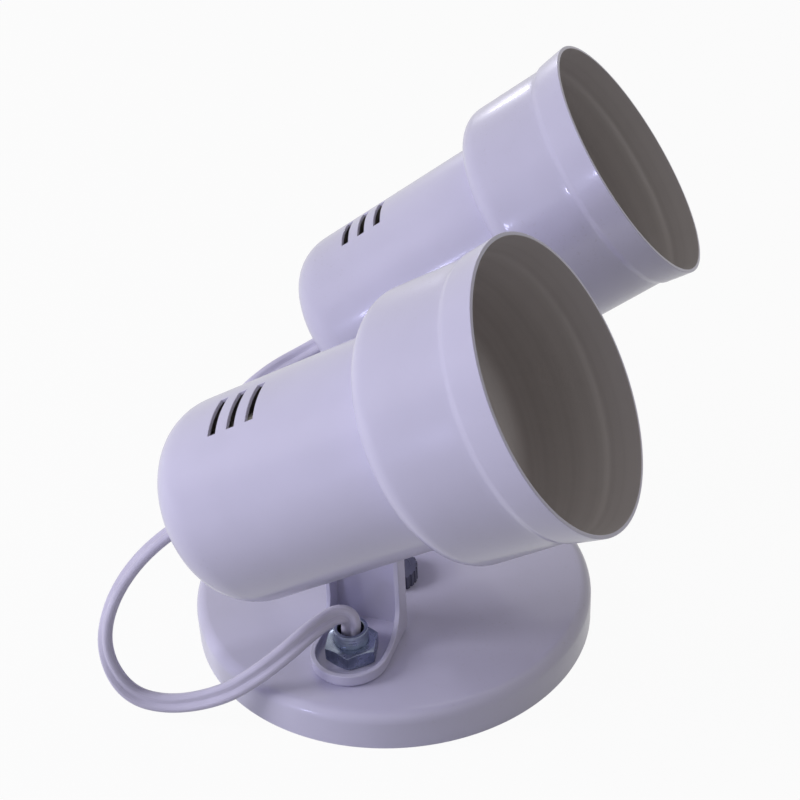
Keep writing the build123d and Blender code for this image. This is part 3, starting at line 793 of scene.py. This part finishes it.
def bumped(tree, shader, height, depth):
    """Send a height through a bump node; depth in millimetres."""
    bump = tree.nodes.new("ShaderNodeBump")
    bump.inputs["Strength"].default_value = 1.0
    bump.inputs["Distance"].default_value = depth * MM
    tree.links.new(height, bump.inputs["Height"])
    tree.links.new(bump.outputs["Normal"], shader.inputs["Normal"])


# %% [markdown]
# The enamel is a cool white with a touch of lavender, baked hard and glossy.
# The clear top of the coat gives crisp reflections over a softer body, so
# the shader has a smooth coat over a rougher base. The tone drifts a little
# and a few dust specks dull the gloss.

# %% White enamel
enamel_light = srgb(206, 203, 225)
enamel_deep = srgb(199, 196, 217)
enamel_dust = srgb(178, 174, 184)
dust_colour_share = 0.35
dust_dulling = 0.25
clean_roughness = 0.30
ripple_depth = 0.012

enamel, tree, shader = new_finish("white_enamel", Roughness=0.34, Coat_Weight=0.55,
                                  Coat_Roughness=0.09, IOR=1.5)
coat = placed(tree, gloss_coat, object_spot(tree))
colour = mixed(tree, coat.outputs["Tone"], enamel_light, enamel_deep)
dust = coat.outputs["Dust"]
colour = mixed(tree, calc(tree, "MULTIPLY", dust, dust_colour_share), colour,
               enamel_dust)
tree.links.new(colour, shader.inputs["Base Color"])
rough = calc(tree, "ADD", calc(tree, "MULTIPLY", dust, dust_dulling),
             clean_roughness)
tree.links.new(rough, shader.inputs["Roughness"])
bumped(tree, shader, coat.outputs["Height"], ripple_depth)
print("enamel tones", [round(v, 3) for v in enamel_light[:3]])

# %% [markdown]
# Inside, a shell has only a thin matt coat over the spun metal, so the rings
# of the spinning tool show. Its colour is warmer and less blue than the
# enamel, and that warmth is painted shade, the tone of the cups' shaded
# insides. The rings follow each head's own axis: the coordinates are centred
# on the rim and turned to the head before they go into the rings effect. Each
# shell therefore has a lining of its own.

# %% Shell lining
# Lining tones: a warm grey, less blue than the enamel; that warmth is painted
# shade.
lining_and_shade_pale = srgb(206, 200, 200)
lining_and_shade_deep = srgb(195, 189, 189)
ring_share, patch_share = 0.6, 0.4
lining_roughness = (0.4, 0.52)
ring_depth = 0.003


def shell_lining(number):
    material, tree, shader = new_finish(f"shell_{number}_lining", Roughness=0.45,
                                        Coat_Weight=0.3, Coat_Roughness=0.2)
    head_place = head_matrix(number)
    spot = object_spot(tree, head_place.translation, head_place.to_euler())
    rings = placed(tree, turned_marks, spot, Marks_Scale=420.0)
    streaks = rings.outputs["Streaks"]
    patches = noise(tree, spot, scale=45.0, detail=3.0)
    mask = calc(tree, "ADD", calc(tree, "MULTIPLY", streaks, ring_share),
                calc(tree, "MULTIPLY", patches, patch_share))
    tree.links.new(mixed(tree, mask, lining_and_shade_pale, lining_and_shade_deep),
                   shader.inputs["Base Color"])
    tree.links.new(spread(tree, streaks, 0, 1, *lining_roughness),
                   shader.inputs["Roughness"])
    bumped(tree, shader, rings.outputs["Height"], ring_depth)
    return material


linings = {number: shell_lining(number) for number in (1, 2)}
print("linings:", [lining.name for lining in linings.values()])

# %% [markdown]
# Nuts, nipples and screws are zinc plated with a blue passivation: a cool
# grey metal with soft, duller stains. Brass stays warmer. Both use the grain
# and stain effect, and the nipple adds the crests of its fine thread as a
# bump along its length.

# %% Metals
grain_share, crest_share = 0.06, 0.5
grain_depth, thread_depth = 0.05, 0.02
nipple_pitch = 1.0


def plated(name, bright, dull, smooth, stained, thread_pitch=None):
    """A plated metal; smooth and stained are its two roughnesses."""
    material, tree, shader = new_finish(name, Metallic=1.0, Roughness=0.3)
    spot = object_spot(tree)
    grain = placed(tree, metal_grain, spot)
    tree.links.new(mixed(tree, grain.outputs["Stain"], bright, dull),
                   shader.inputs["Base Color"])
    tree.links.new(spread(tree, grain.outputs["Stain"], 0, 1, smooth, stained),
                   shader.inputs["Roughness"])
    height = calc(tree, "MULTIPLY", grain.outputs["Height"], grain_share)
    depth = grain_depth
    if thread_pitch:
        parts = tree.nodes.new("ShaderNodeSeparateXYZ")
        tree.links.new(spot, parts.inputs["Vector"])
        turns = calc(tree, "MULTIPLY", parts.outputs["Z"],
                     2 * pi / (thread_pitch * MM))
        crest = calc(tree, "SINE", turns)
        height = calc(tree, "ADD", height,
                      calc(tree, "MULTIPLY", crest, crest_share))
        depth = thread_depth
    bumped(tree, shader, height, depth)
    return material


zinc = plated("blue_zinc", srgb(160, 168, 188), srgb(132, 140, 160),
              smooth=0.24, stained=0.34)
zinc_thread = plated("blue_zinc_thread", srgb(168, 176, 196), srgb(140, 148, 168),
                     smooth=0.24, stained=0.4, thread_pitch=nipple_pitch)
strip_zinc = plated("zinc_strip", srgb(184, 188, 192), srgb(150, 154, 158),
                    smooth=0.3, stained=0.5)
brass = plated("plain_brass", srgb(208, 178, 112), srgb(168, 138, 80),
               smooth=0.22, stained=0.4)
plated_brass = plated("nickel_brass", srgb(206, 200, 184), srgb(170, 160, 140),
                      smooth=0.2, stained=0.36)
print("metals:", zinc.name, zinc_thread.name, strip_zinc.name, brass.name,
      plated_brass.name)

# %% [markdown]
# The small plastic, rubber and porcelain parts hardly show, but each has its
# own surface: a fine moulded grain on plastic and rubber, and a glassy coat
# with faint waves on porcelain.

# %% Plastics and porcelain
moulded_grain, moulded_stain = 1100.0, 120.0
polished_by, dulled_by = 0.05, 0.08
glaze_light = srgb(228, 225, 214)
glaze_deep = srgb(214, 210, 198)


def moulded(name, light, deep, roughness, depth):
    """A moulded plastic or rubber; depth of its grain in millimetres."""
    material, tree, shader = new_finish(name, Roughness=roughness)
    grain = placed(tree, metal_grain, object_spot(tree),
                   Grain_Scale=moulded_grain, Stain_Scale=moulded_stain)
    stain = grain.outputs["Stain"]
    tree.links.new(mixed(tree, stain, light, deep), shader.inputs["Base Color"])
    tree.links.new(spread(tree, stain, 0, 1, roughness - polished_by,
                          roughness + dulled_by), shader.inputs["Roughness"])
    bumped(tree, shader, grain.outputs["Height"], depth)
    return material


# The centre screw's cap is dark, and its grey-blue tone also holds painted shade:
# the shadow it lies in under the near head.
dark_plastic = moulded("dark_plastic", srgb(92, 92, 114), srgb(78, 78, 100),
                       roughness=0.42, depth=0.03)
nylon = moulded("natural_nylon", srgb(222, 220, 212), srgb(208, 206, 198),
                roughness=0.5, depth=0.03)
spacer_nylon = moulded("white_nylon", srgb(214, 212, 218), srgb(202, 200, 208),
                       roughness=0.5, depth=0.03)
rubber = moulded("white_rubber", srgb(196, 192, 204), srgb(180, 176, 188),
                 roughness=0.55, depth=0.04)
wire_skin = moulded("blue_wire_skin", srgb(70, 104, 168), srgb(58, 88, 148),
                    roughness=0.4, depth=0.02)

porcelain, tree, shader = new_finish("glazed_porcelain", Roughness=0.25,
                                     Coat_Weight=0.5, Coat_Roughness=0.06)
coat = placed(tree, gloss_coat, object_spot(tree), Ripple_Scale=260.0)
tree.links.new(mixed(tree, coat.outputs["Tone"], glaze_light, glaze_deep),
               shader.inputs["Base Color"])
bumped(tree, shader, coat.outputs["Height"], depth=0.05)
print("moulded and glazed:", dark_plastic.name, nylon.name, spacer_nylon.name,
      rubber.name, wire_skin.name, porcelain.name)

# %% [markdown]
# The sheath of the cord is soft white PVC that takes the colour of the paint.
# Drawing it over the cores leaves fine lines along the cord. The cord's own
# attribute gives the place across and along it, and the length is squeezed to
# a few hundredths, so that a noise read there stretches into lines.

# %% Cord sheath
sheath_light = srgb(212, 208, 228)
sheath_deep = srgb(194, 190, 209)
line_stretch = 0.04
line_share, handled_share = 0.5, 0.5
handled_range = (0.3, 0.7)
sheath_roughness = (0.36, 0.5)
line_depth = 0.05


def cord_sheath():
    material, tree, shader = new_finish("cord_sheath", Roughness=0.42,
                                        Coat_Weight=0.12, Coat_Roughness=0.25)
    along = tree.nodes.new("ShaderNodeAttribute")
    along.attribute_name = "cord_uv"
    parts = tree.nodes.new("ShaderNodeSeparateXYZ")
    tree.links.new(along.outputs["Vector"], parts.inputs["Vector"])
    drawn = tree.nodes.new("ShaderNodeCombineXYZ")
    tree.links.new(parts.outputs["X"], drawn.inputs["X"])
    tree.links.new(parts.outputs["Y"], drawn.inputs["Y"])
    tree.links.new(calc(tree, "MULTIPLY", parts.outputs["Z"], line_stretch),
                   drawn.inputs["Z"])
    lines = noise(tree, drawn.outputs["Vector"], scale=3.5, detail=3.0)
    handled = noise(tree, object_spot(tree), scale=60.0, detail=3.0)
    tone = calc(tree, "ADD", calc(tree, "MULTIPLY", lines, line_share),
                calc(tree, "MULTIPLY", handled, handled_share))
    tree.links.new(mixed(tree, spread(tree, tone, *noise_swing), sheath_light,
                         sheath_deep), shader.inputs["Base Color"])
    tree.links.new(spread(tree, handled, *handled_range, *sheath_roughness),
                   shader.inputs["Roughness"])
    bumped(tree, shader, lines, line_depth)
    return material


sheath = cord_sheath()
print("finishes:", len(bpy.data.materials))

# %% [markdown]
# Now each piece gets its finish. The new pieces take theirs directly, because
# a shell has two and the others one.

# %% Finishes of the new pieces
def dress(piece, *finishes):
    """Replace a piece's materials."""
    piece.data.materials.clear()
    for finish in finishes:
        piece.data.materials.append(finish)


dress(canopy, enamel)
for number in (1, 2):
    dress(shells[number], enamel, linings[number])
    dress(cords[number], sheath)
    dress(soft[f"bracket_{number}"], enamel)
    dress(soft[f"pivot_nut_{number}"], zinc)
    dress(soft[f"pivot_washer_{number}"], zinc)
    dress(soft[f"lampholder_{number}"], porcelain)
dress(soft["nipple_nuts"], zinc)
dress(soft["nipples"], zinc_thread)
dress(soft["centre_screw"], dark_plastic)
print("new pieces dressed:", 1 + len(shells) + len(cords) + len(soft))

# %% [markdown]
# The solid pieces that stay visible as they are have their material slots
# filled by the kind of part they are, which is their name without the number
# of the head. A kind that is missing from the list would stop the script, so
# no piece is left in a plain colour.

# %% Finishes of the solid pieces
plain_finishes = {
    "crossbar": strip_zinc, "crossbar_nut": zinc, "earth_washer": brass,
    "earth_screw": brass, "terminal_block": nylon, "block_screw": zinc,
    "block_terminals": zinc, "lock_washers": zinc, "lock_nuts": zinc,
    "canopy_leads": wire_skin, "pivot_spacer": spacer_nylon, "pivot_screw": zinc,
    "screw_shell": plated_brass, "contact": brass, "holder_screws": zinc,
    "holder_spacers": strip_zinc, "holder_terminals": brass, "grommet": rubber,
    "head_leads": wire_skin,
}
dressed = 0
for name, node in nodes.items():
    if node.hide_render:
        continue
    kind = name[:-2] if name[-2:] in ("_1", "_2") else name
    finish = plain_finishes[kind]
    for slot in node.material_slots:
        slot.material = finish
    if not node.material_slots:
        node.data.materials.append(finish)
    dressed += 1
print("solid pieces dressed:", dressed)

# %% [markdown]
# The light stands on a plain pale floor. A studio sweep looks white in a
# picture and still takes a soft shadow. More light would burn out the object,
# so the floor's material mixes in plain white for the rays that the camera
# sends, and less of it for reflections. Everything else meets a grey floor.

# %% Floor
floor_size = 3.0
floor_grey = (0.55, 0.55, 0.56, 1.0)
plain_white = (1.0, 1.0, 1.0, 1.0)
floor_seen_white = 0.95
mirrored_white = 0.6


def show_white(tree, mask, plain, white, output):
    """Show white where a mask of rays asks for it, else the plain shader."""
    mix = tree.nodes.new("ShaderNodeMixShader")
    tree.links.new(mask, mix.inputs["Fac"])
    tree.links.new(plain, mix.inputs[1])
    tree.links.new(white, mix.inputs[2])
    tree.links.new(mix.outputs["Shader"], tree.nodes[output].inputs["Surface"])


bm = bmesh.new()
bmesh.ops.create_grid(bm, x_segments=1, y_segments=1, size=floor_size)
floor = bmesh_piece("floor", bm)
floor_finish, tree, shader = new_finish("pale_floor", Roughness=0.9)
shader.inputs["Base Color"].default_value = floor_grey
rays = tree.nodes.new("ShaderNodeLightPath").outputs
glow = tree.nodes.new("ShaderNodeEmission")
glow.inputs["Color"].default_value = plain_white
shown = calc(tree, "MAXIMUM",
             calc(tree, "MULTIPLY", rays["Is Camera Ray"], floor_seen_white),
             calc(tree, "MULTIPLY", rays["Is Glossy Ray"], mirrored_white))
show_white(tree, shown, shader.outputs["BSDF"], glow.outputs["Emission"],
           "Material Output")
floor.data.materials.append(floor_finish)
print("floor:", 2 * floor_size, "m wide")

# %% [markdown]
# The world gives a weak, slightly warm light from all sides. The camera sees
# it as white, directly and through clear parts, and reflections see a grey.

# %% World
world_warm = (1.0, 0.98, 0.95, 1.0)
world_strength = 0.22

world = bpy.data.worlds.new("studio")
bpy.context.scene.world = world
world.use_nodes = True
tree = world.node_tree
soft_light = tree.nodes["Background"]
soft_light.inputs["Color"].default_value = world_warm
soft_light.inputs["Strength"].default_value = world_strength
backdrop = tree.nodes.new("ShaderNodeBackground")
backdrop.inputs["Color"].default_value = plain_white
backdrop.inputs["Strength"].default_value = 1.0
rays = tree.nodes.new("ShaderNodeLightPath").outputs
shown = calc(tree, "MAXIMUM",
             calc(tree, "ADD", rays["Is Camera Ray"],
                  rays["Is Transmission Ray"], clamp=True),
             calc(tree, "MULTIPLY", rays["Is Glossy Ray"], mirrored_white))
show_white(tree, shown, soft_light.outputs["Background"],
           backdrop.outputs["Background"], "World Output")
bpy.context.scene.view_settings.view_transform = "Standard"
print("world light:", world_strength)

# %% [markdown]
# A large soft lamp on the left lights the backs of the shells, and the cups,
# which face away from it, stay dark inside. A warm fill from the right and a
# small blue one from the front left lift the shadows. None of these three
# shows in the gloss. Two small windows, front left and back left, are there
# for the gloss: they draw the narrow glints on the shoulders and the canopy.

# %% Lamps
middle = Vector((0.0, 0.0, 0.07))
lamp_list = [
    # name, place, width in metres, watts, tint, shows in gloss
    ("key_lamp", middle + Vector((-0.99, -0.10, 0.50)), 0.5, 7.9,
     (0.92, 0.91, 1.0), False),
    ("room_fill", middle + Vector((0.78, 0.0, 0.95)), 0.8, 1.75,
     (1.0, 0.96, 0.92), False),
    ("sky_fill", Vector((-0.40, -0.45, 0.50)), 0.3, 0.45,
     (0.70, 0.70, 1.0), False),
    ("front_window", Vector((-0.84, -0.83, 0.18)), 0.10, 1.1,
     (0.62, 0.62, 1.0), True),
    ("back_window", Vector((-0.32, 1.16, 0.39)), 0.08, 0.9,
     (0.92, 0.92, 1.0), True),
]


def lamp(name, spot, width, watts, tint, in_gloss):
    """A square soft lamp at a spot, turned to face the light's middle."""
    data = bpy.data.lights.new(name, "AREA")
    data.shape = "SQUARE"
    data.size = width
    data.energy = watts
    data.color = tint
    holder = new_piece(name, data)
    turn = (middle - spot).normalized().to_track_quat("-Z", "Y")
    holder.matrix_world = Matrix.Translation(spot) @ turn.to_matrix().to_4x4()
    holder.visible_glossy = in_gloss


for row in lamp_list:
    lamp(*row)
print("lamps:", len(bpy.data.lights))
